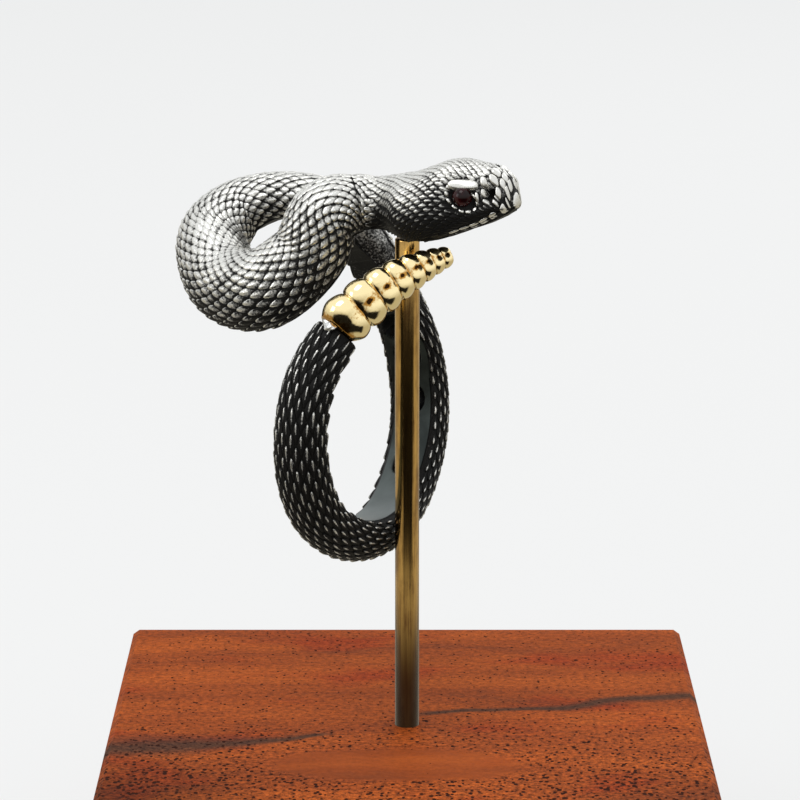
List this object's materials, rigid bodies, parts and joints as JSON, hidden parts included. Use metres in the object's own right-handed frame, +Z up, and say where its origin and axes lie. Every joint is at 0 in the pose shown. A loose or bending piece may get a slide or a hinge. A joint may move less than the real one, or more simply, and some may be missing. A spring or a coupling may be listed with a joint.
{
  "type": "snake wrap ring on a wood block and rod display stand",
  "caption": "Wrap ring shaped as a coiled rattlesnake with a gold rattle, held up by its own display stand, a brass rod in a wooden block.",
  "frame": {"origin": "centre of the block's underside, straight below the rod's axis", "axes": "+Z up along the rod, +Y away from the viewer, square to the block's front face; the snake's head points to +X"},
  "size_m": [0.05, 0.05, 0.0687],
  "materials": {
    "oxidised_silver": "cast silver, blackened between the scales and bright on their tips",
    "gold": "polished yellow gold",
    "garnet": "polished dark red stone",
    "brass": "aged drawn brass",
    "rosewood": "oiled, satin, with dark pores"
  },
  "bodies": {
    "root": {"snake": "oxidised_silver", "rattle": "gold", "eye_left": "garnet", "eye_right": "garnet", "stand_rod": "brass", "stand_block": "rosewood"}
  },
  "joints": []
}
